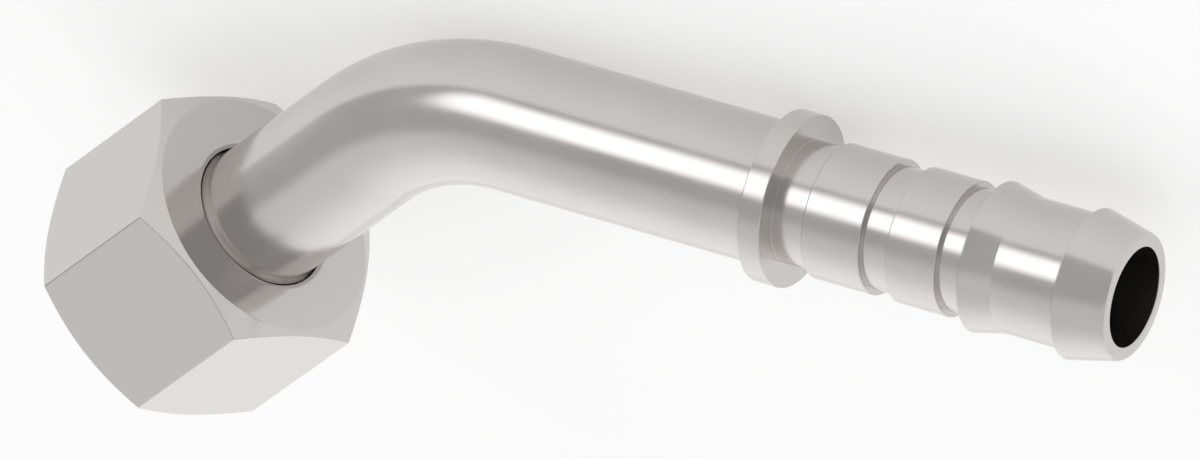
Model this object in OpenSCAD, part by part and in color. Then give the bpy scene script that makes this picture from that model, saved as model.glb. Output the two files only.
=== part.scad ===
// Hydraulic hose fitting: 45 degree elbow with a swivel nut and a hose tail.
// It lies on a table, as it can't stand by itself: a rear corner of the nut, the
// outside of the elbow and the collar touch the table. The origin is at the centre
// of the nut's open face. +Z is up, the nut's axis runs towards +X and down to the
// neck, and the tail leans towards -Y.
// The modules below are drawn with the nut's axis upright, and then laid down.

/* [Nut] */
// Width across the flats of the hexagon
nut_flats = 27; // [25.5:0.5:32]
// Length of the nut, end to end
nut_len = 19; // [17.5:0.5:24]
// Diameter of the flat ring at each end, where the corner chamfer starts
nut_face_d = 25.9; // [24:0.1:26.5]
// Angle of the corner chamfer from the end face, in degrees
nut_chamfer_angle = 30; // [15:1:40]
// Minor diameter of the female pipe thread, G 1/2
thread_minor_d = 18.63; // [17.5:0.01:19.5]
// Length of the threaded wall behind its lead-in chamfer
thread_len = 7.8; // [5:0.1:9]
// Diameter of the lead-in chamfer at the mouth
mouth_d = 21.4; // [20.4:0.1:23]
// Diameter of the thread run-out behind the thread
runout_d = 21.4; // [20.4:0.1:23]
// Length of the rear wall that runs on the stem's head
rear_wall_len = 4.6; // [4:0.1:6]
// Radius of the rounded edge of the rear bore
rear_edge_r = 0.7; // [0.3:0.05:1]

/* [Stem head] */
// Diameter of the head that the nut runs on
head_d = 15.2; // [14.8:0.05:16.5]
// How far the head's straight part stops short of the nut's rear face
head_inset = 0.4; // [0.2:0.1:1]
// How far the blend from the head to the neck shows behind the nut
blend_show = 0.65; // [0.4:0.05:1.5]
// Depth of the nose's tip behind the mouth of the nut
nose_depth = 9.6; // [9.3:0.1:11]
// Diameter of the nose at its tip
nose_d = 11.6; // [11:0.1:12.5]
// Half angle of the sealing cone, in degrees
cone_angle = 30; // [25:1:40]
// Bevel inside the tip of the nose
nose_bevel = 0.25; // [0.1:0.05:0.5]

/* [Swivel] */
// Radial running clearance between the head and the nut
swivel_gap = 0.08; // [0.03:0.01:0.1]
// Diameter of the thrust wire
wire_d = 1.6; // [1.2:0.1:2]
// Distance of the wire's centre from the nut's rear face
wire_inset = 2.5; // [2:0.1:3]
// Clearance all round the wire in its groove
wire_gap = 0.1; // [0.05:0.01:0.15]
// Part of the circle that the wire fills, in degrees
wire_sweep = 325; // [270:5:345]
// Diameter of the hole through which the wire is fed in
feed_hole_d = 2.1; // [1.9:0.1:2.5]

/* [Tube] */
// Outer diameter of the bent tube
tube_d = 14.7; // [14:0.1:15]
// Diameter of the passage from the nose to the end of the tail
passage_d = 10.3; // [9:0.1:10.6]
// Straight neck between the nut's rear face and the bend
neck_len = 17.3; // [8:0.1:40]
// Radius of the bend along the tube's axis
bend_r = 24.6; // [18:0.1:60]
// Angle of the bend, in degrees
bend_angle = 45; // [20:1:60]
// Straight tube between the bend and the collar
tail_straight = 30.1; // [10:0.1:60]

/* [Hose tail] */
// Diameter of the collar that stops the hose
collar_d = 17.8; // [16.5:0.1:20]
// Length of the collar
collar_len = 2.5; // [1.5:0.1:5]
// Diameter at the bottom of the grooves
groove_d = 12.75; // [12:0.05:13.4]
// Diameter of the lands, and of the core between the barbs
land_d = 14; // [13.6:0.1:14.6]
// Diameter of the barbs at their sharp shoulder
barb_d = 15.6; // [15:0.1:17]
// Length of the groove behind the collar, which holds the ferrule
ferrule_groove_len = 3.7; // [2:0.1:6]
// Length of the first land
land_1_len = 6.5; // [3:0.1:10]
// Length of the groove between the lands
mid_groove_len = 3; // [1.5:0.1:5]
// Length of the second land
land_2_len = 5.6; // [3:0.1:10]
// Length of the groove in front of the first barb
barb_groove_len = 2.9; // [1.5:0.1:5]
// Length of each barb's cone, from its shoulder down to the core
barb_cone_len = 3.4; // [2.5:0.1:5]
// Length of the straight core between the barbs
core_len = 7.2; // [3:0.1:12]
// Length of the last barb, from its shoulder to the end face
end_barb_len = 5.35; // [4:0.05:5.6]
// Radius of the rounded edge of the tail's end
tail_edge_r = 0.45; // [0.2:0.05:0.6]

/* [Lying on the table] */
// Slope of the nut's axis down to the neck, in degrees
lie_pitch = 15.77; // [10:0.01:20]
// Turn about the nut's axis that brings the elbow down to the table, in degrees
lie_roll = 20.75; // [10:0.01:28]

/* [Finish] */
// Facets of a full circle
facets = 128; // [64:16:192]
// Colour of the plated stem
stem_colour = "Silver"; // [Silver, LightGray, Gainsboro]
// Colour of the plated nut
nut_colour = "LightGray"; // [Silver, LightGray, Gainsboro]
// Colour of the thrust wire
wire_colour = "DimGray"; // [DimGray, Gray, SlateGray]

/* [Hidden] */
$fn = facets;

// Cuts run past the face that they open by this much
past = 1;

// Nut
hexagon_d = nut_flats / cos(30);
nut_face_r = nut_face_d / 2;
chamfer_r = hexagon_d / 2 + past;
chamfer_depth = (chamfer_r - nut_face_r) * tan(nut_chamfer_angle);
thread_r = thread_minor_d / 2;
mouth_depth = mouth_d / 2 - thread_r;
thread_end = mouth_depth + thread_len;
rear_wall_z = nut_len - rear_wall_len;
rear_bore_r = head_d / 2 + swivel_gap;

// Head of the stem
head_r = head_d / 2;
tube_r = tube_d / 2;
passage_r = passage_d / 2;
cone_len = (head_r - nose_d / 2) / tan(cone_angle);
head_end = nut_len - head_inset;
// The neck blends into the head along an arc that is tangent to the tube
blend_len = head_inset + blend_show;
blend_step = head_r - tube_r;
blend_r = (blend_len * blend_len + blend_step * blend_step) / (2 * blend_step);
blend_end = head_end + blend_len;

// Thrust wire, centred on the running gap
wire_z = nut_len - wire_inset;
wire_ring_r = head_r + swivel_gap / 2;
wire_groove_r = wire_d / 2 + wire_gap;

// Bend and tail
bend_z = nut_len + neck_len;
// Bending swells the tube by this much, and the straight tube runs into the bend
bend_swell = 0.01;
bend_overlap = 0.05;
barb_slope = (barb_d - land_d) / 2 / barb_cone_len;
end_r = barb_d / 2 - barb_slope * end_barb_len;
barb_taper = atan(barb_slope);
// Lengths along the tail, counted from the end of the bend
collar_start = tail_straight;
collar_end = collar_start + collar_len;
land_1_start = collar_end + ferrule_groove_len;
land_1_end = land_1_start + land_1_len;
land_2_start = land_1_end + mid_groove_len;
land_2_end = land_2_start + land_2_len;
barb_1_start = land_2_end + barb_groove_len;
barb_1_end = barb_1_start + barb_cone_len;
barb_2_start = barb_1_end + core_len;
tail_end = barb_2_start + end_barb_len;

// Lays its children down: the nut's axis towards +X, the tail towards -Y
module as_it_lies() {
    rotate([0, lie_pitch, 0])
        rotate([-90, 0, 0])
            rotate([0, 90, 0])
                rotate([0, 0, -lie_roll])
                    children();
}

// Outline of the head and the neck: radius across, height up
module head_outline() {
    difference() {
        polygon([
            [0, nose_depth],
            [nose_d / 2, nose_depth],
            [head_r, nose_depth + cone_len],
            [head_r, head_end],
            [tube_r, blend_end],
            [tube_r, bend_z],
            [0, bend_z]
        ]);
        translate([tube_r + blend_r, blend_end]) circle(r = blend_r);
        translate([wire_ring_r, wire_z]) circle(r = wire_groove_r);
    }
}

// Outline of the straight tube and the hose tail, from the end of the bend
module tail_outline() {
    // The end's edge is an arc that is tangent to the last cone and to the face
    edge_run = tail_edge_r * tan((90 - barb_taper) / 2);
    polygon([
        [0, -bend_overlap],
        [tube_r, -bend_overlap],
        [tube_r, collar_start],
        [collar_d / 2, collar_start],
        [collar_d / 2, collar_end],
        [groove_d / 2, collar_end],
        [groove_d / 2, land_1_start],
        [land_d / 2, land_1_start],
        [land_d / 2, land_1_end],
        [groove_d / 2, land_1_end],
        [groove_d / 2, land_2_start],
        [land_d / 2, land_2_start],
        [land_d / 2, land_2_end],
        [groove_d / 2, land_2_end],
        [groove_d / 2, barb_1_start],
        [barb_d / 2, barb_1_start],
        [land_d / 2, barb_1_end],
        [land_d / 2, barb_2_start],
        [barb_d / 2, barb_2_start],
        [end_r + edge_run * sin(barb_taper), tail_end - edge_run * cos(barb_taper)],
        [end_r - edge_run, tail_end],
        [0, tail_end]
    ]);
    translate([end_r - edge_run, tail_end - tail_edge_r]) circle(r = tail_edge_r);
}

// Puts its children at the end of the bend, with +Z along the tail
module at_bend_end() {
    translate([bend_r, 0, bend_z])
        rotate([0, bend_angle, 0])
            translate([-bend_r, 0, 0])
                children();
}

// A round bar of the given radius that follows the bend
module bent_bar(r) {
    translate([bend_r, 0, bend_z])
        rotate([90, 0, 180])
            rotate_extrude(angle = bend_angle)
                translate([bend_r, 0])
                    circle(r = r);
}

// One turned and bent piece, from the sealing nose to the end of the tail
module stem() {
    color(stem_colour)
    as_it_lies()
    difference() {
        union() {
            rotate_extrude() head_outline();
            bent_bar(tube_r + bend_swell);
            at_bend_end() rotate_extrude() tail_outline();
        }
        union() {
            translate([0, 0, nose_depth - past])
                cylinder(r = passage_r, h = bend_z - nose_depth + past);
            bent_bar(passage_r + bend_swell);
            at_bend_end()
                translate([0, 0, -bend_overlap])
                    cylinder(r = passage_r, h = bend_overlap + tail_end + past);
        }
        translate([0, 0, nose_depth])
            cylinder(r1 = passage_r + nose_bevel, r2 = passage_r, h = nose_bevel);
    }
}

// Outline of the nut's chamfered ends, cut out of the hexagon
module nut_outline() {
    polygon([
        [0, 0],
        [nut_face_r, 0],
        [chamfer_r, chamfer_depth],
        [chamfer_r, nut_len - chamfer_depth],
        [nut_face_r, nut_len],
        [0, nut_len]
    ]);
}

// Outline of the space inside the nut
module nut_bore_outline() {
    polygon([
        [0, -past],
        [mouth_d / 2, -past],
        [mouth_d / 2, 0],
        [thread_r, mouth_depth],
        [thread_r, thread_end],
        [runout_d / 2, thread_end + runout_d / 2 - thread_r],
        [runout_d / 2, rear_wall_z],
        [rear_bore_r, rear_wall_z],
        [rear_bore_r, nut_len + past],
        [0, nut_len + past]
    ]);
    // The rounded edge of the rear bore
    difference() {
        translate([rear_bore_r, nut_len - rear_edge_r])
            square([rear_edge_r, rear_edge_r]);
        translate([rear_bore_r + rear_edge_r, nut_len - rear_edge_r])
            circle(r = rear_edge_r);
    }
    translate([wire_ring_r, wire_z]) circle(r = wire_groove_r);
}

// The hexagonal swivel nut, with one corner in the plane of the bend
module nut() {
    color(nut_colour)
    as_it_lies()
    difference() {
        intersection() {
            cylinder(d = hexagon_d, h = nut_len, $fn = 6);
            rotate_extrude() nut_outline();
        }
        rotate_extrude() nut_bore_outline();
        translate([0, wire_ring_r, wire_z])
            rotate([0, 90, 0])
                cylinder(d = feed_hole_d, h = hexagon_d);
    }
}

// The round wire that holds the nut on the head, fed in through the nut's side
module thrust_wire() {
    color(wire_colour)
    as_it_lies()
    translate([0, 0, wire_z])
        rotate([0, 0, 90 - wire_sweep])
            rotate_extrude(angle = wire_sweep)
                translate([wire_ring_r, 0])
                    circle(d = wire_d);
}

stem();
nut();
thrust_wire();
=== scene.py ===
# %% [markdown]
# A hydraulic hose fitting: a hexagonal swivel nut, a bent steel stem and a hose
# tail with a collar, grooves and barbs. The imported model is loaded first, because
# every visible piece is drawn around its solids and rides on its two bodies.

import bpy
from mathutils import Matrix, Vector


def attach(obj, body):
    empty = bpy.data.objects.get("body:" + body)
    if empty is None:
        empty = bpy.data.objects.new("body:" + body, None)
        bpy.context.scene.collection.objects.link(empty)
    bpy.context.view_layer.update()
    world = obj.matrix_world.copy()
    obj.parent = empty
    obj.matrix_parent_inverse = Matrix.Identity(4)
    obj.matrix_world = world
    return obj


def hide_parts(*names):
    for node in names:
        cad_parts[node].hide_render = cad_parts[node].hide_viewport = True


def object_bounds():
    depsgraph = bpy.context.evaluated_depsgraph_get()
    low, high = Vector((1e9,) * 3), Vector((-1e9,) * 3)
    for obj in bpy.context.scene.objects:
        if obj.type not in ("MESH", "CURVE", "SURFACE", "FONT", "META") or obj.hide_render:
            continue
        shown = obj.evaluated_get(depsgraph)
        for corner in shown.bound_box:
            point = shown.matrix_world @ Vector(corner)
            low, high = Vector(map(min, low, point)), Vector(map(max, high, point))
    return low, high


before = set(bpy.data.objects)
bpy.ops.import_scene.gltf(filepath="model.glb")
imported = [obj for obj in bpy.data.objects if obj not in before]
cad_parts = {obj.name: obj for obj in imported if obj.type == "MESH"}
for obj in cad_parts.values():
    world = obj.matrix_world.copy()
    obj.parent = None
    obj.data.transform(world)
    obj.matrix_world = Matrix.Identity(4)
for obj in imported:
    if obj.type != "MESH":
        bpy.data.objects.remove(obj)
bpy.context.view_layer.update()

import math
import bmesh
import bpy
from mathutils import Matrix, Vector

# %% [markdown]
# The fitting can't stand by itself, so the model lies as on a table. It is easier
# to draw with the nut's axis upright and to lay it down at the end, as a turner
# thinks in the lathe's axis. The lay-down is one rotation matrix, with the same two
# angles as the solids, so that the pieces land exactly on them. It could also be
# the object's own rotation, but then patterns and poses would need it undone.

# %% From the nut's upright axis to the table
MM = 0.001
LIE_PITCH = math.radians(15.77)
LIE_ROLL = math.radians(20.75)
LAY_DOWN = (
    Matrix.Rotation(LIE_PITCH, 4, "Y")
    @ Matrix.Rotation(math.radians(-90), 4, "X")
    @ Matrix.Rotation(math.radians(90), 4, "Y")
    @ Matrix.Rotation(-LIE_ROLL, 4, "Z")
)
NUT_AXIS = (LAY_DOWN @ Vector((0, 0, 1))).normalized()
print("nut's axis points", [round(v, 3) for v in NUT_AXIS])

# %% [markdown]
# Real turned edges are never knife-sharp: a cut edge is broken by a tenth of a
# millimetre, and that thin arc catches the light. A Bevel modifier could do it,
# but on a bright metal it disturbs the shading of the flats next to it. Here each
# corner of an outline becomes a small arc with a holding point on both sides, so
# that the faces beyond keep their own normal and mirror cleanly.

# %% Break the corners of an outline, in mm
EDGE_BREAK = 0.11
INNER_BREAK = 0.03
HOLD = 0.03
SHARP_TURN = math.radians(6)
# how much of the shorter side a corner may use, and how much of that its arc may use
CORNER_SHARE = 0.4
ARC_SHARE = 0.8


def break_corners(outline, steps=3):
    """A closed outline of (x, y) points in mm with its sharp corners rounded.

    The outline runs anticlockwise. A point of an arc has a third value and stays.
    """
    out = []
    count = len(outline)
    for i, corner in enumerate(outline):
        here = Vector(corner[:2])
        back = Vector(outline[i - 1][:2]) - here
        ahead = Vector(outline[(i + 1) % count][:2]) - here
        turn = math.pi - back.angle(ahead)
        if len(corner) > 2 or turn < SHARP_TURN:
            out.append(tuple(here))
            continue
        # a tool breaks an outer edge, and leaves an inner corner nearly sharp
        radius = EDGE_BREAK if ahead.cross(back) > 0 else INNER_BREAK
        room = CORNER_SHARE * min(back.length, ahead.length)
        reach = min(radius * math.tan(turn / 2), room * ARC_SHARE)
        hold = min(reach + HOLD, room)
        start = here + back.normalized() * reach
        end = here + ahead.normalized() * reach
        out.append(tuple(here + back.normalized() * hold))
        for k in range(steps + 1):
            t = k / steps
            # a quadratic curve through the corner's two tangents
            point = start * (1 - t) ** 2 + here * 2 * t * (1 - t) + end * t ** 2
            out.append(tuple(point))
        out.append(tuple(here + ahead.normalized() * hold))
    return out


def arc(centre, radius, start, end, steps):
    """Points of a circular arc in an outline, angles in degrees, marked as curved."""
    points = []
    for k in range(steps + 1):
        a = math.radians(start + (end - start) * k / steps)
        x = centre[0] + radius * math.cos(a)
        y = centre[1] + radius * math.sin(a)
        points.append((x, y, "curved"))
    return points


square = [(0, 0), (9, 0), (9, 9), (0, 9)]
print("a square corner becomes", len(break_corners(square)) // len(square), "points")

# %% [markdown]
# The stem is turned from bar and bent afterwards, so its outline is written as on
# the lathe: radius across, distance along the straight bar. It starts at the
# sealing cone inside the nut, with the groove for the thrust wire, runs along the
# plain tube, and ends in the hose tail: the collar that stops the hose, the groove
# that the crimped ferrule locks in, two lands and two barbs.

# %% Sizes of the stem, in mm
NUT_LEN = 19.0
HEAD_R = 7.6
TUBE_R = 7.35
PASSAGE_R = 5.15
# the sealing cone: where its small end lies, its radius there and its slope
NOSE_Z = 9.6
NOSE_R = 5.8
NOSE_CHAMFER = 0.25
CONE_HALF_ANGLE = math.radians(30)
CONE_TOP = NOSE_Z + (HEAD_R - NOSE_R) / math.tan(CONE_HALF_ANGLE)
# the thrust wire's ring, and the half groove that it lies in
WIRE_Z = 16.5
WIRE_RING_R = 7.64
WIRE_GROOVE_R = 0.9
# the head ends just inside the nut, and its hollow runs out just outside it
HEAD_INSIDE = 0.4
BLEND_OUTSIDE = 0.65
HEAD_END = NUT_LEN - HEAD_INSIDE
BLEND_END = NUT_LEN + BLEND_OUTSIDE
# neck, bend and straight tube
NECK_LEN = 17.3
BEND_R = 24.6
BEND_ANGLE = math.radians(45)
TUBE_LEN = 30.1
BEND_START = NUT_LEN + NECK_LEN
BEND_END = BEND_START + BEND_R * BEND_ANGLE
TAIL_START = BEND_END + TUBE_LEN
# the hose tail
COLLAR_R = 8.9
GROOVE_R = 6.375
LAND_R = 7.0
BARB_R = 7.8
# radius and length of each step, from the collar to the last groove
TAIL_STEPS = (
    (COLLAR_R, 2.5),
    (GROOVE_R, 3.7),
    (LAND_R, 6.5),
    (GROOVE_R, 3.0),
    (LAND_R, 5.6),
    (GROOVE_R, 2.9),
)
BARB_LEN = 3.4
BARB_GAP = 7.2
LAST_BARB_LEN = 5.35
END_EDGE_R = 0.45
print("straight up to the tail", round(TAIL_START - NOSE_Z, 2), "mm of bar")


# %% Outline of the stem on the lathe
def tail_outline():
    """The steps of the hose tail as (radius, distance along the bar)."""
    at = TAIL_START
    points = [(TUBE_R, at)]
    for radius, length in TAIL_STEPS:
        points += [(radius, at), (radius, at + length)]
        at += length
    points += [(BARB_R, at), (LAND_R, at + BARB_LEN)]
    at += BARB_LEN + BARB_GAP
    points += [(LAND_R, at), (BARB_R, at)]
    return points, at


def stem_outline():
    """The whole closed outline: outside from the nose to the tail, then the bore."""
    out = [(PASSAGE_R + NOSE_CHAMFER, NOSE_Z), (NOSE_R, NOSE_Z), (HEAD_R, CONE_TOP)]
    opening = math.degrees(math.acos((HEAD_R - WIRE_RING_R) / WIRE_GROOVE_R))
    ring = (WIRE_RING_R, WIRE_Z)
    out += arc(ring, WIRE_GROOVE_R, -opening, -360 + opening, steps=10)
    step = HEAD_R - TUBE_R
    reach = BLEND_END - HEAD_END
    blend_r = (reach ** 2 + step ** 2) / (2 * step)
    half = math.degrees(math.asin(reach / blend_r))
    hollow = arc((TUBE_R + blend_r, BLEND_END), blend_r, 180 + half, 180, steps=8)
    # the hollow starts at a true corner of the head and runs smoothly into the tube
    out += [hollow[0][:2]] + hollow[1:]
    tail, barb_at = tail_outline()
    out += tail
    # the last barb has the slope of the first, and its end is rounded
    slope = (BARB_R - LAND_R) / BARB_LEN
    end = barb_at + LAST_BARB_LEN
    end_r = BARB_R - slope * LAST_BARB_LEN
    lean = math.degrees(math.atan(slope))
    run = END_EDGE_R * math.tan(math.radians(90 - lean) / 2)
    out += arc((end_r - run, end - END_EDGE_R), END_EDGE_R, lean, 90, steps=7)
    out += [(PASSAGE_R, end), (PASSAGE_R, NOSE_Z + NOSE_CHAMFER)]
    return out, end


STEM_OUTLINE, STEM_END = stem_outline()
print("stem outline", len(STEM_OUTLINE), "points, tail ends at", round(STEM_END, 2))

# %% [markdown]
# A bar that is to be bent needs rings along its length, or it would fold at one
# place. Long sides of the outline are divided, finely inside the bend and at its two
# ends, coarsely where the bar stays straight. The outline is then spun into rings.
# Blender has a Spin operator for this, but writing the rings directly keeps the seam
# closed and the faces turned outwards.

# %% Divide the long sides
# in mm: the shortest side that is divided, the step in the bend, and the bend's margin
LONG_SIDE = 6.0
FINE_STEP = 0.7
BEND_MARGIN = 3
# away from the bend only every eighth ring is kept
KEEP_EVERY = 8
SAME_RADIUS = 1e-6


def spans(outline):
    """The outline with long sides divided, finely where the bar will be bent."""
    out = []
    for i, (r, z) in enumerate(outline):
        r2, z2 = outline[(i + 1) % len(outline)]
        out.append((r, z))
        # only a long wall that runs along the bar is divided
        if abs(z2 - z) < LONG_SIDE or abs(r2 - r) > SAME_RADIUS:
            continue
        count = int(math.ceil(abs(z2 - z) / FINE_STEP))
        for k in range(1, count):
            zk = z + (z2 - z) * k / count
            inside = BEND_START - BEND_MARGIN < zk < BEND_END + BEND_MARGIN
            if inside or k % KEEP_EVERY == 0:
                out.append((r, zk))
    return out


stem_profile = spans(break_corners(STEM_OUTLINE))
print("stem profile", len(stem_profile), "points")


# %% Spin the outline into rings
FACETS = 144


def spun(name, rings):
    """A mesh from rings, each a list of points. The last ring joins the first."""
    bm = bmesh.new()
    rows = [[bm.verts.new(Vector(p) * MM) for p in ring] for ring in rings]
    count = len(rows)
    for i in range(count):
        a, b = rows[i], rows[(i + 1) % count]
        for j in range(len(a)):
            k = (j + 1) % len(a)
            bm.faces.new((a[j], a[k], b[k], b[j]))
    mesh = bpy.data.meshes.new(name)
    bm.to_mesh(mesh)
    bm.free()
    for face in mesh.polygons:
        face.use_smooth = True
    piece = bpy.data.objects.new(name, mesh)
    bpy.context.scene.collection.objects.link(piece)
    return piece


def volume(mesh):
    """Signed volume in mm3: above zero if the faces point outwards."""
    bm = bmesh.new()
    bm.from_mesh(mesh)
    size = bm.calc_volume(signed=True)
    bm.free()
    return size / MM ** 3


def circle_rings(outline):
    """One round ring for each point of the outline of a turned shape."""
    turn = [2 * math.pi * k / FACETS for k in range(FACETS)]
    return [[(r * math.cos(a), r * math.sin(a), z) for a in turn] for r, z in outline]


turned_stem = spun("turned_stem", circle_rings(stem_profile))
print("turned stem", len(turned_stem.data.polygons), "faces")
print("its volume", round(volume(turned_stem.data)), "mm3")

# %% [markdown]
# Now the bar is bent. On the real fitting a mandrel bender wraps the tube round a
# former. Here a Geometry Nodes tree does the same to each point: before the bend it
# stays, inside the bend it turns about the former's centre by its share of the
# angle, and after it the rest of the bar is carried along straight. A Simple Deform
# modifier bends too, but it bends the whole object and doesn't keep straight ends.

# %% Small helpers for node trees
def node(tree, kind, **values):
    """Adds a node, sets its properties and the defaults of its input sockets."""
    made = tree.nodes.new(kind)
    for key, value in values.items():
        if key.startswith("in_"):
            made.inputs[int(key[3:])].default_value = value
        else:
            setattr(made, key, value)
    return made


def plug(tree, source, target):
    """Joins one output socket to one input socket."""
    tree.links.new(source, target)


def calc(tree, operation, a, b=None):
    """A Math node on sockets or numbers, and its result."""
    made = node(tree, "ShaderNodeMath", operation=operation)
    for index, value in enumerate((a, b)):
        if value is None:
            continue
        if isinstance(value, (int, float)):
            made.inputs[index].default_value = value
        else:
            plug(tree, value, made.inputs[index])
    return made.outputs[0]


print("helpers ready: node, plug and calc")

# %% How a tree of Geometry Nodes begins and ends
ON_THE_LATHE = "on_the_lathe"


def new_tree(name, sizes):
    """A Geometry Nodes tree with a mesh input and one named input for each size."""
    tree = bpy.data.node_groups.new(name, "GeometryNodeTree")
    face = tree.interface
    face.new_socket("Geometry", in_out="INPUT", socket_type="NodeSocketGeometry")
    for size in sizes:
        face.new_socket(size, in_out="INPUT", socket_type="NodeSocketFloat")
    face.new_socket("Material", in_out="INPUT", socket_type="NodeSocketMaterial")
    face.new_socket("Geometry", in_out="OUTPUT", socket_type="NodeSocketGeometry")
    return tree, node(tree, "NodeGroupInput"), node(tree, "NodeGroupOutput")


def keep_place(tree, geometry, place):
    """Stores where each point is on the lathe, for the marks that the tools leave."""
    kept = node(
        tree, "GeometryNodeStoreNamedAttribute", data_type="FLOAT_VECTOR", domain="POINT"
    )
    kept.inputs["Name"].default_value = ON_THE_LATHE
    plug(tree, geometry, kept.inputs["Geometry"])
    plug(tree, place, kept.inputs["Value"])
    return kept.outputs[0]


def close_tree(tree, entry, leave, geometry):
    """Ends a tree in Realize Instances and Set Material."""
    real = node(tree, "GeometryNodeRealizeInstances")
    paint = node(tree, "GeometryNodeSetMaterial")
    plug(tree, geometry, real.inputs[0])
    plug(tree, real.outputs[0], paint.inputs["Geometry"])
    plug(tree, entry.outputs["Material"], paint.inputs["Material"])
    plug(tree, paint.outputs[0], leave.inputs[0])


print("each point keeps its place as", ON_THE_LATHE)


# %% Run a tree on a piece
def apply_tree(piece, tree, sizes, material):
    """Runs a tree on a piece with these sizes and keeps the result as a plain mesh."""
    run = piece.modifiers.new(tree.name, "NODES")
    run.node_group = tree
    for item in tree.interface.items_tree:
        if item.in_out == "INPUT" and item.name in sizes:
            run[item.identifier] = sizes[item.name]
        if item.in_out == "INPUT" and item.name == "Material":
            run[item.identifier] = material
    bpy.context.view_layer.update()
    graph = bpy.context.evaluated_depsgraph_get()
    made = bpy.data.meshes.new_from_object(piece.evaluated_get(graph), depsgraph=graph)
    piece.modifiers.remove(run)
    old = piece.data
    piece.data = made
    made.name = piece.name
    bpy.data.meshes.remove(old)


print("trees so far", len(bpy.data.node_groups))


# %% The tree that bends the bar
def bending_tree():
    """Bends what it gets in the plane of X and Z, towards +X."""
    names = ("Bend start", "Bend radius", "Bend angle")
    tree, entry, leave = new_tree("bend the bar", names)
    start, radius, angle = (entry.outputs[n] for n in names)
    place = node(tree, "GeometryNodeInputPosition")
    split = node(tree, "ShaderNodeSeparateXYZ")
    plug(tree, place.outputs[0], split.inputs[0])
    x, y, z = split.outputs
    past = calc(tree, "SUBTRACT", z, start)
    arc_length = calc(tree, "MULTIPLY", radius, angle)
    before = calc(tree, "MINIMUM", past, 0.0)
    inside = calc(tree, "MINIMUM", calc(tree, "MAXIMUM", past, 0.0), arc_length)
    after = calc(tree, "MAXIMUM", calc(tree, "SUBTRACT", past, arc_length), 0.0)
    turn = calc(tree, "DIVIDE", inside, radius)
    sine, cosine = calc(tree, "SINE", turn), calc(tree, "COSINE", turn)
    across = calc(tree, "SUBTRACT", x, radius)
    new_x = calc(tree, "ADD", radius, calc(tree, "MULTIPLY", across, cosine))
    new_x = calc(tree, "ADD", new_x, calc(tree, "MULTIPLY", after, sine))
    new_z = calc(tree, "ADD", start, before)
    new_z = calc(tree, "SUBTRACT", new_z, calc(tree, "MULTIPLY", across, sine))
    new_z = calc(tree, "ADD", new_z, calc(tree, "MULTIPLY", after, cosine))
    joined = node(tree, "ShaderNodeCombineXYZ")
    for source, target in zip((new_x, y, new_z), joined.inputs):
        plug(tree, source, target)
    straight = keep_place(tree, entry.outputs["Geometry"], place.outputs[0])
    move = node(tree, "GeometryNodeSetPosition")
    plug(tree, straight, move.inputs["Geometry"])
    plug(tree, joined.outputs[0], move.inputs["Position"])
    close_tree(tree, entry, leave, move.outputs[0])
    return tree


bend_the_bar = bending_tree()
print("bending tree", len(bend_the_bar.nodes), "nodes")

# %% [markdown]
# Both big pieces are bright plated steel, almost a mirror. What a mirror shows is
# the room, so the metal's colour is simple: plated steel gives back six tenths of the
# light, a little more of the red than of the blue. What makes it steel and not glass
# is slight. A lathe leaves fine rings, a drawing die leaves fine lines along the bar,
# and the gloss varies a little from place to place. The marks are noise stretched
# along or across the bar, read from the place that each point had on the lathe, so
# that they follow the bend. Object coordinates would cut straight across it.

# %% Noise for the marks and the cloudiness of a metal
# most of a noise lies between these two values
NOISE_LOW = 0.3
NOISE_HIGH = 0.7


def noise(tree, place, stretch, scale=1.0, detail=3.0):
    """Noise at a place, stretched by a Mapping node."""
    turn = node(tree, "ShaderNodeMapping", vector_type="POINT")
    turn.inputs["Scale"].default_value = stretch
    made = node(tree, "ShaderNodeTexNoise", noise_dimensions="3D")
    made.inputs["Scale"].default_value = scale
    made.inputs["Detail"].default_value = detail
    plug(tree, place, turn.inputs[0])
    plug(tree, turn.outputs[0], made.inputs["Vector"])
    return made.outputs[0]


def limits(tree, value, low, high):
    """Spreads a noise value between two limits."""
    made = node(tree, "ShaderNodeMapRange")
    made.inputs["From Min"].default_value = NOISE_LOW
    made.inputs["From Max"].default_value = NOISE_HIGH
    made.inputs["To Min"].default_value = low
    made.inputs["To Max"].default_value = high
    plug(tree, value, made.inputs["Value"])
    return made.outputs[0]


print("noise is spread from", NOISE_LOW, "to", NOISE_HIGH)

# %% A plated steel
# how many marks there are in a metre, across (x, y) and along (z) the bar
DRAWN_LINES = (5200, 5200, 70)
TURNED_RINGS = (70, 70, 6500)
MARK_DEPTH = 0.0000006
# the cloudiness: its fineness, and how far it moves the roughness and the colour
EVEN = (1, 1, 1)
CLOUD_SCALE = 170.0
CLOUD_DETAIL = 4.0
GLOSSIER, DULLER = 0.85, 1.2
DARKER, LIGHTER = 0.975, 1.025


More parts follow.
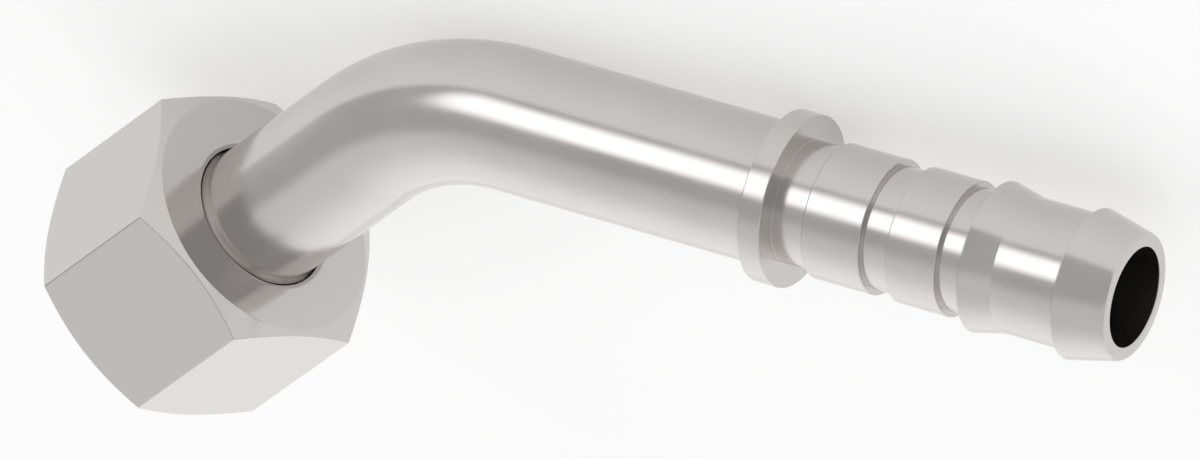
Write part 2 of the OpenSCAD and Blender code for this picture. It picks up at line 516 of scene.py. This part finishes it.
def plated_steel(name, colour, roughness, place_of, turned_from):
    """Bright steel, drawn below turned_from (m along the bar) and turned above it."""
    material = bpy.data.materials.new(name)
    material.use_nodes = True
    tree = material.node_tree
    shader = tree.nodes["Principled BSDF"]
    shader.inputs["Metallic"].default_value = 1.0
    place = place_of(tree)
    apart = node(tree, "ShaderNodeSeparateXYZ")
    plug(tree, place, apart.inputs[0])
    is_turned = calc(tree, "GREATER_THAN", apart.outputs[2], turned_from)
    marks = node(tree, "ShaderNodeMix", data_type="FLOAT")
    plug(tree, is_turned, marks.inputs[0])
    plug(tree, noise(tree, place, DRAWN_LINES), marks.inputs[2])
    plug(tree, noise(tree, place, TURNED_RINGS), marks.inputs[3])
    cloud = noise(tree, place, EVEN, CLOUD_SCALE, CLOUD_DETAIL)
    gloss = limits(tree, cloud, roughness * GLOSSIER, roughness * DULLER)
    plug(tree, gloss, shader.inputs["Roughness"])
    # the plating is a shade thicker in places: lighter there, and a little duller
    shade = node(tree, "ShaderNodeMix", data_type="RGBA")
    shade.inputs[6].default_value = [c * DARKER for c in colour[:3]] + [1.0]
    shade.inputs[7].default_value = [c * LIGHTER for c in colour[:3]] + [1.0]
    plug(tree, limits(tree, cloud, 0.0, 1.0), shade.inputs[0])
    plug(tree, shade.outputs[2], shader.inputs["Base Color"])
    raised = node(tree, "ShaderNodeBump")
    raised.inputs["Strength"].default_value = 1.0
    raised.inputs["Distance"].default_value = MARK_DEPTH
    plug(tree, marks.outputs[0], raised.inputs["Height"])
    plug(tree, raised.outputs[0], shader.inputs["Normal"])
    return material


def on_the_lathe(tree):
    """The place that a point had on the lathe, before bending and laying down."""
    return node(tree, "ShaderNodeAttribute", attribute_name=ON_THE_LATHE).outputs["Vector"]


def in_the_piece(tree):
    """The plain place of a point, for a piece that was never on the lathe here."""
    return node(tree, "ShaderNodeTexCoord").outputs["Object"]


print("drawn lines", DRAWN_LINES[0], "and turned rings", TURNED_RINGS[2], "in a metre")

# %% Steel of the stem and of the nut
STEEL_COLOUR = (0.592, 0.571, 0.553, 1.0)
# the drawn and bent stem mirrors a little softer than the machined nut
STEM_ROUGHNESS = 0.18
NUT_ROUGHNESS = 0.12
# the tube is drawn as far as the tail, and the nut is all drawn hexagon bar
stem_steel = plated_steel(
    "bright steel stem", STEEL_COLOUR, STEM_ROUGHNESS, on_the_lathe, TAIL_START * MM
)
nut_steel = plated_steel(
    "bright steel nut", STEEL_COLOUR, NUT_ROUGHNESS, on_the_lathe, NUT_LEN * MM
)
print("materials", stem_steel.name, "and", nut_steel.name)

# %% Bend the stem and lay it down
bend_sizes = {
    "Bend start": BEND_START * MM,
    "Bend radius": BEND_R * MM,
    "Bend angle": BEND_ANGLE,
}
apply_tree(turned_stem, bend_the_bar, bend_sizes, stem_steel)
turned_stem.data.transform(LAY_DOWN)
print("bent stem volume", round(volume(turned_stem.data)), "mm3")

# %% [markdown]
# The nut is a hexagon with its corners turned away by a 30 degree chamfer at both
# ends. Where the cone of the chamfer cuts a flat it leaves the curved edge that
# every hexagon nut shows. A boolean of a prism and a cone would give it too, with
# ragged faces. Here the outline of the hexagon is walked corner to corner, and
# at each step a cross-section from the axis outwards is drawn, whose outer wall is
# as far out as the hexagon is there. The curved edge then comes by itself.

# %% Sizes of the nut, in mm
FLATS = 27.0
CORNER_R = 0.25
# where the chamfer meets the end faces, and its slope
FACE_R = 12.95
CHAMFER = math.tan(math.radians(30))
# the threaded part, between a cone at the mouth and one at the run-out
THREAD_R = 9.315
THREAD_LEN = 7.8
MOUTH_R = 10.7
CONE_LEN = MOUTH_R - THREAD_R
THREAD_END = CONE_LEN + THREAD_LEN
RUNOUT_Z = THREAD_END + CONE_LEN
# the wall that runs on the stem's head
REAR_WALL = 4.6
REAR_WALL_Z = NUT_LEN - REAR_WALL
REAR_BORE_R = 7.68
REAR_EDGE_R = 0.7
print("thread from", round(CONE_LEN, 2), "to", round(THREAD_END, 2), "mm, wall from", REAR_WALL_Z)

# %% The hexagon seen along the axis
SIXTH = math.radians(60)
STEPS_ON_A_FLAT = 22
STEPS_ON_A_CORNER = 4


def hexagon():
    """Points round the hexagon with rounded corners: (direction, distance)."""
    half = FLATS / 2
    # the corner's arc takes a little off each end of the flat
    straight = half * math.tan(SIXTH / 2) - CORNER_R * math.tan(SIXTH / 2)
    limit = math.atan(straight / half)
    hold = math.atan((straight - HOLD) / half)
    angles = [-limit, -hold]
    angles += [-hold + 2 * hold * k / STEPS_ON_A_FLAT for k in range(1, STEPS_ON_A_FLAT)]
    angles += [hold, limit]
    points = []
    for side in range(6):
        mid = SIXTH / 2 + side * SIXTH
        normal = Vector((math.cos(mid), math.sin(mid)))
        along = Vector((-math.sin(mid), math.cos(mid)))
        points += [normal * half + along * half * math.tan(a) for a in angles]
        corner = normal * half + along * straight
        centre = corner - normal * CORNER_R
        for k in range(1, STEPS_ON_A_CORNER):
            a = mid + SIXTH * k / STEPS_ON_A_CORNER
            points.append(centre + Vector((math.cos(a), math.sin(a))) * CORNER_R)
    return [(math.atan2(p.y, p.x), p.length) for p in points]


HEXAGON = hexagon()
across_corners = 2 * max(distance for _, distance in HEXAGON)
print("hexagon", len(HEXAGON), "points, across corners", round(across_corners, 2))


# %% Cross-section of the nut at one direction
THREAD_ROWS = 140


def nut_section(out):
    """The closed cross-section where the hexagon lies 'out' mm from the axis."""
    drop = (out - FACE_R) * CHAMFER
    outer = [
        (MOUTH_R, 0),
        (FACE_R, 0),
        (out, drop),
        (out, NUT_LEN - drop),
        (FACE_R, NUT_LEN),
    ]
    centre = (REAR_BORE_R + REAR_EDGE_R, NUT_LEN - REAR_EDGE_R)
    edge = arc(centre, REAR_EDGE_R, 90, 180, steps=8)
    reach = math.degrees(math.acos((REAR_BORE_R - WIRE_RING_R) / WIRE_GROOVE_R))
    groove = arc((WIRE_RING_R, WIRE_Z), WIRE_GROOVE_R, reach, -reach, steps=8)
    inner = [(REAR_BORE_R, REAR_WALL_Z), (MOUTH_R, REAR_WALL_Z), (MOUTH_R, RUNOUT_Z)]
    return outer + edge + groove + inner


def threaded_wall():
    """The wall that the thread is cut in, from its run-out to the mouth."""
    points = []
    for k in range(1, THREAD_ROWS):
        z = RUNOUT_Z * (1 - k / THREAD_ROWS)
        r = THREAD_R + max(0.0, z - THREAD_END, CONE_LEN - z)
        points.append((r, z))
    return points


WALL = threaded_wall()
print("threaded wall", len(WALL), "rows in", round(RUNOUT_Z, 2), "mm")

# %% Walk the cross-section round the hexagon
columns = [break_corners(nut_section(out)) + WALL for _, out in HEXAGON]
rings = []
for i in range(len(columns[0])):
    ring = []
    for (direction, _), column in zip(HEXAGON, columns):
        r, z = column[i]
        ring.append((r * math.cos(direction), r * math.sin(direction), z))
    rings.append(ring)
swivel_nut = spun("swivel_nut", rings)
print("nut rings", len(rings), "volume", round(volume(swivel_nut.data)))

# %% [markdown]
# The nut's thread is a G 1/2 pipe thread: 14 turns to the inch, right-handed, with
# flanks of 27.5 degrees and rounded crests and roots. Such a profile is very nearly
# a cosine wave, so the tree pushes each point of the wall outwards by a wave that
# climbs one pitch for each turn. A ribbon swept along a helix is the usual other way,
# but it leaves loose ends, where this one runs out in the cones by itself.

# %% The tree that cuts the thread
THREAD_PITCH = 1.814
MAJOR_DIAMETER = 20.955
MINOR_DIAMETER = 18.631
THREAD_DEPTH = (MAJOR_DIAMETER - MINOR_DIAMETER) / 2
WALL_MARK = "wall"


def threading_tree():
    """Cuts a right-handed thread in the points whose wall mark is one."""
    names = ("Pitch", "Minor radius", "Depth")
    tree, entry, leave = new_tree("cut the thread", names)
    pitch, minor, depth = (entry.outputs[n] for n in names)
    place = node(tree, "GeometryNodeInputPosition")
    split = node(tree, "ShaderNodeSeparateXYZ")
    plug(tree, place.outputs[0], split.inputs[0])
    x, y, z = split.outputs
    turn = calc(tree, "ARCTAN2", y, x)
    climb = calc(tree, "MULTIPLY", calc(tree, "DIVIDE", z, pitch), 2 * math.pi)
    wave = calc(tree, "COSINE", calc(tree, "SUBTRACT", climb, turn))
    bite = calc(tree, "MULTIPLY", calc(tree, "SUBTRACT", 1.0, wave), 0.5)
    cut = calc(tree, "ADD", minor, calc(tree, "MULTIPLY", bite, depth))
    flat = node(tree, "ShaderNodeCombineXYZ")
    plug(tree, x, flat.inputs[0])
    plug(tree, y, flat.inputs[1])
    size = node(tree, "ShaderNodeVectorMath", operation="LENGTH")
    plug(tree, flat.outputs[0], size.inputs[0])
    radius = size.outputs["Value"]
    scale = calc(tree, "DIVIDE", calc(tree, "MAXIMUM", radius, cut), radius)
    joined = node(tree, "ShaderNodeCombineXYZ")
    plug(tree, calc(tree, "MULTIPLY", x, scale), joined.inputs[0])
    plug(tree, calc(tree, "MULTIPLY", y, scale), joined.inputs[1])
    plug(tree, z, joined.inputs[2])
    wall = node(tree, "GeometryNodeInputNamedAttribute", data_type="FLOAT", in_0=WALL_MARK)
    chosen = node(tree, "FunctionNodeCompare", data_type="FLOAT", operation="GREATER_THAN")
    plug(tree, wall.outputs[0], chosen.inputs[0])
    chosen.inputs[1].default_value = 0.5
    plain = keep_place(tree, entry.outputs["Geometry"], place.outputs[0])
    move = node(tree, "GeometryNodeSetPosition")
    plug(tree, plain, move.inputs["Geometry"])
    plug(tree, chosen.outputs[0], move.inputs["Selection"])
    plug(tree, joined.outputs[0], move.inputs["Position"])
    close_tree(tree, entry, leave, move.outputs[0])
    return tree


cut_the_thread = threading_tree()
print("threading tree", len(cut_the_thread.nodes), "nodes")

# %% Cut the thread
per_ring = len(HEXAGON)
first_wall = (len(rings) - len(WALL)) * per_ring
is_wall = [0.0] * first_wall + [1.0] * (len(WALL) * per_ring)
mark = swivel_nut.data.attributes.new(WALL_MARK, "FLOAT", "POINT")
mark.data.foreach_set("value", is_wall)
thread_sizes = {
    "Pitch": THREAD_PITCH * MM,
    "Minor radius": THREAD_R * MM,
    "Depth": THREAD_DEPTH * MM,
}
apply_tree(swivel_nut, cut_the_thread, thread_sizes, nut_steel)
swivel_nut.data.attributes.remove(swivel_nut.data.attributes[WALL_MARK])
print("threaded nut volume", round(volume(swivel_nut.data)), "mm3")

# %% [markdown]
# The nut hangs on a round spring wire that is pushed in from the side, through a
# small hole that meets the wire's groove at a tangent. The hole is drilled with a
# Boolean modifier, which is the right tool for one hole in a finished wall.

# %% A drill, with its sizes in mm
SAME_POINT = 0.0005


def drill(piece, start, direction, radius, length, facets=32):
    """Drills one round hole in a piece and keeps the result as a plain mesh."""
    bm = bmesh.new()
    bmesh.ops.create_cone(
        bm,
        cap_ends=True,
        segments=facets,
        radius1=radius * MM,
        radius2=radius * MM,
        depth=length * MM,
    )
    mesh = bpy.data.meshes.new("drill")
    bm.to_mesh(mesh)
    bm.free()
    turn = Vector((0, 0, 1)).rotation_difference(direction).to_matrix().to_4x4()
    middle = (Vector(start) + direction * length / 2) * MM
    mesh.transform(Matrix.Translation(middle) @ turn)
    tool = bpy.data.objects.new("drill", mesh)
    bpy.context.scene.collection.objects.link(tool)
    cut = piece.modifiers.new("hole", "BOOLEAN")
    cut.operation = "DIFFERENCE"
    cut.object = tool
    cut.solver = "EXACT"
    bpy.context.view_layer.update()
    graph = bpy.context.evaluated_depsgraph_get()
    made = bpy.data.meshes.new_from_object(piece.evaluated_get(graph), depsgraph=graph)
    piece.modifiers.remove(cut)
    bpy.data.objects.remove(tool)
    # where the drill meets an edge it leaves points on top of each other
    bm = bmesh.new()
    bm.from_mesh(made)
    bmesh.ops.remove_doubles(bm, verts=bm.verts, dist=SAME_POINT * MM)
    bmesh.ops.dissolve_degenerate(bm, edges=bm.edges, dist=SAME_POINT * MM)
    bm.to_mesh(made)
    bm.free()
    old = piece.data
    piece.data = made
    bpy.data.meshes.remove(old)


print("points nearer than", SAME_POINT, "mm become one")

# %% Drill the feed hole and lay the nut down
HOLE_R = 1.05
HOLE_LEN = 16.0
HOLE_START = (0, WIRE_RING_R, WIRE_Z)
HOLE_TOWARDS = Vector((1, 0, 0))
# an edge sharper than this is shaded sharp, and a broken corner's arc is not
SHARP_EDGE = math.radians(38)
drill(swivel_nut, HOLE_START, HOLE_TOWARDS, HOLE_R, HOLE_LEN)
swivel_nut.data.set_sharp_from_angle(angle=SHARP_EDGE)
swivel_nut.data.transform(LAY_DOWN)
print("drilled nut volume", round(volume(swivel_nut.data)), "mm3")

# %% [markdown]
# The thrust wire shows only through its hole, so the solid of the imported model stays
# and gets the darker steel of a drawn spring wire. Every piece then rides on the body
# that it turns with, and stands for the solid that it covers.

# %% Finish of the wire, and what rides on what
WIRE_COLOUR = (0.5, 0.5, 0.51, 1.0)
WIRE_ROUGHNESS = 0.3
# turned marks would start a metre up, so the wire has drawn ones alone
ALL_DRAWN = 1.0
wire_steel = plated_steel(
    "spring wire", WIRE_COLOUR, WIRE_ROUGHNESS, in_the_piece, ALL_DRAWN
)
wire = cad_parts["thrust_wire"]
wire.data.materials.clear()
wire.data.materials.append(wire_steel)
for piece, body, solid, finish in (
    (turned_stem, "stem", "stem", "plated_stem"),
    (swivel_nut, "nut", "nut", "plated_nut"),
):
    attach(piece, body)
    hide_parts(solid)
    print(piece.name, "rides on", body, "with", len(piece.data.polygons), "faces")

# %% [markdown]
# A photographer looks at such a part with a long lens, which keeps parallel edges
# almost parallel. The camera looks down on the lying fitting, rolled so that the
# tail points to the right of the picture, as in the photograph.

# %% Camera
LOOK_AT = Vector((0.02825, -0.02911, -0.02236))
DISTANCE = 2.2
AZIMUTH = math.radians(110.88)
ELEVATION = math.radians(29.057)
ROLL = math.radians(-152.206)
# in mm
FOCAL_LENGTH = 650.0
FILM_WIDTH = 36.0
camera_back = Vector((
    math.sin(AZIMUTH) * math.cos(ELEVATION),
    -math.cos(AZIMUTH) * math.cos(ELEVATION),
    math.sin(ELEVATION),
))
lens = bpy.data.cameras.new("camera")
lens.type = "PERSP"
lens.lens = FOCAL_LENGTH
lens.sensor_width = FILM_WIDTH
lens.clip_start = 0.05
lens.clip_end = 60.0
camera = bpy.data.objects.new("camera", lens)
bpy.context.scene.collection.objects.link(camera)
camera.location = LOOK_AT + camera_back * DISTANCE
level = (-camera_back).to_track_quat("-Z", "Y").to_matrix()
turned = level @ Matrix.Rotation(ROLL, 3, "Z")
camera.rotation_euler = turned.to_euler()
bpy.context.scene.camera = camera
print("camera at", [round(v, 3) for v in camera.location])

# %% [markdown]
# A mirror-like metal is lit by what stands round it, so the studio is built as a
# world: a grey room in front of the fitting, a pale one overhead, and one soft round
# lamp. Area lamps could light it too, but a mirror would show them as hard patches.
# Every ray sees the same room, and its level is about one, at which a colour shows
# as it is written.

# %% Directions and soft steps in the studio
RIGHT, UP, BACK = (turned.col[i].copy() for i in range(3))


def studio_direction(x, y, z):
    """A fixed direction in the room: x right, y up, z to the front of the picture."""
    return (RIGHT * x + UP * y + BACK * z).normalized()


world = bpy.data.worlds.new("studio")
bpy.context.scene.world = world
world.use_nodes = True
room = world.node_tree
room.nodes.clear()
gaze = node(room, "ShaderNodeTexCoord").outputs["Generated"]


def along(direction):
    """How far each direction of the room points along a given one, from -1 to 1."""
    made = node(room, "ShaderNodeVectorMath", operation="DOT_PRODUCT")
    plug(room, gaze, made.inputs[0])
    made.inputs[1].default_value = direction
    return made.outputs["Value"]


def ramp(value, start, end, low=0.0, high=1.0):
    """A soft step from low, where the value is start, to high, where it is end."""
    made = node(room, "ShaderNodeMapRange", interpolation_type="SMOOTHERSTEP")
    plug(room, value, made.inputs["Value"])
    made.inputs["From Min"].default_value = start
    made.inputs["From Max"].default_value = end
    made.inputs["To Min"].default_value = low
    made.inputs["To Max"].default_value = high
    return made.outputs["Result"]


def blend(under, over, share):
    """under where share is 0 and over where it is 1."""
    made = node(room, "ShaderNodeMix", data_type="FLOAT")
    plug(room, share, made.inputs[0])
    for socket, value in ((made.inputs[2], under), (made.inputs[3], over)):
        if isinstance(value, (int, float)):
            socket.default_value = value
        else:
            plug(room, value, socket)
    return made.outputs[0]


upwards = along(studio_direction(0, 1, 0))
forwards = along(studio_direction(0, 0, 1))
print("studio right, up and front", [[round(c, 2) for c in v] for v in (RIGHT, UP, BACK)])

# %% The grey room, its pale side and its lamp
GREY_FRONT, GREY_BACK = 0.56, 0.76
PALE_FRONT, PALE_BACK = 0.78, 1.2
LAMP = 2.0
LAMP_AT = (-0.73, 0.28, 0.62)
# how well a direction agrees with the lamp's, at the lamp's rim and at its middle
LAMP_RIM, LAMP_MIDDLE = 0.94, 1.0
# where the soft steps start and end: 1 is the front or the top, and -1 its opposite
GREY_STEP = (0.1, -0.6)
PALE_STEP = (0.5, -0.7)
PALE_SIDE = (-0.25, -0.6)
# the grey of the room, darkest at the front
grey = ramp(forwards, *GREY_STEP, GREY_FRONT, GREY_BACK)
# the picture's lower side is overhead as the fitting lies, and is brighter at the back
pale = ramp(forwards, *PALE_STEP, PALE_FRONT, PALE_BACK)
tone = blend(grey, pale, ramp(upwards, *PALE_SIDE))
# the lamp stands at the front left, a little above the picture's middle
near_the_lamp = along(studio_direction(*LAMP_AT))
tone = blend(tone, LAMP, ramp(near_the_lamp, LAMP_RIM, LAMP_MIDDLE))
seen = node(room, "ShaderNodeBackground")
plug(room, tone, seen.inputs["Color"])
leave = node(room, "ShaderNodeOutputWorld")
plug(room, seen.outputs[0], leave.inputs["Surface"])
print("studio nodes", len(room.nodes))

# %% [markdown]
# The fitting lies on a white table, which is part of the picture and not of the part.
# The table takes the soft shadow, and a glow lifts it to white. More light would do
# that too, but it would bleach the steel as well. The glow is there for the camera
# and just as much for what a metal or a glass shows, so that the steel mirrors the
# same white table, with its own shadow close by. No other ray sees it.

# %% Table
# in metres: the table reaches nearly to the horizon, a hair under the fitting
TABLE_RADIUS = 30.0
TABLE_GAP = 0.00002
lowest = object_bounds()[0].z
bm = bmesh.new()
bmesh.ops.create_circle(bm, cap_ends=True, segments=96, radius=TABLE_RADIUS)
mesh = bpy.data.meshes.new("table")
bm.to_mesh(mesh)
bm.free()
table = bpy.data.objects.new("table", mesh)
bpy.context.scene.collection.objects.link(table)
table.location = (0, 0, lowest - TABLE_GAP)
print("table at", round(table.location.z * 1000, 2), "mm")

# %% White of the table
TABLE_COLOUR = (0.65, 0.65, 0.65, 1)
TABLE_GLOW = 0.45
paint = bpy.data.materials.new("white table")
paint.use_nodes = True
tree = paint.node_tree
tree.nodes.clear()
matt = node(tree, "ShaderNodeBsdfDiffuse")
matt.inputs["Color"].default_value = TABLE_COLOUR
path = node(tree, "ShaderNodeLightPath")
shown = calc(tree, "MAXIMUM", path.outputs["Is Camera Ray"], path.outputs["Is Glossy Ray"])
shown = calc(tree, "MAXIMUM", shown, path.outputs["Is Transmission Ray"])
glow = node(tree, "ShaderNodeEmission")
plug(tree, calc(tree, "MULTIPLY", shown, TABLE_GLOW), glow.inputs["Strength"])
both = node(tree, "ShaderNodeAddShader")
plug(tree, matt.outputs[0], both.inputs[0])
plug(tree, glow.outputs[0], both.inputs[1])
end = node(tree, "ShaderNodeOutputMaterial")
plug(tree, both.outputs[0], end.inputs["Surface"])
table.data.materials.append(paint)
print("table material", len(tree.nodes), "nodes")

# %% [markdown]
# The colours are shown as they are, with no film look.

# %% Plain colours
bpy.context.scene.view_settings.view_transform = "Standard"
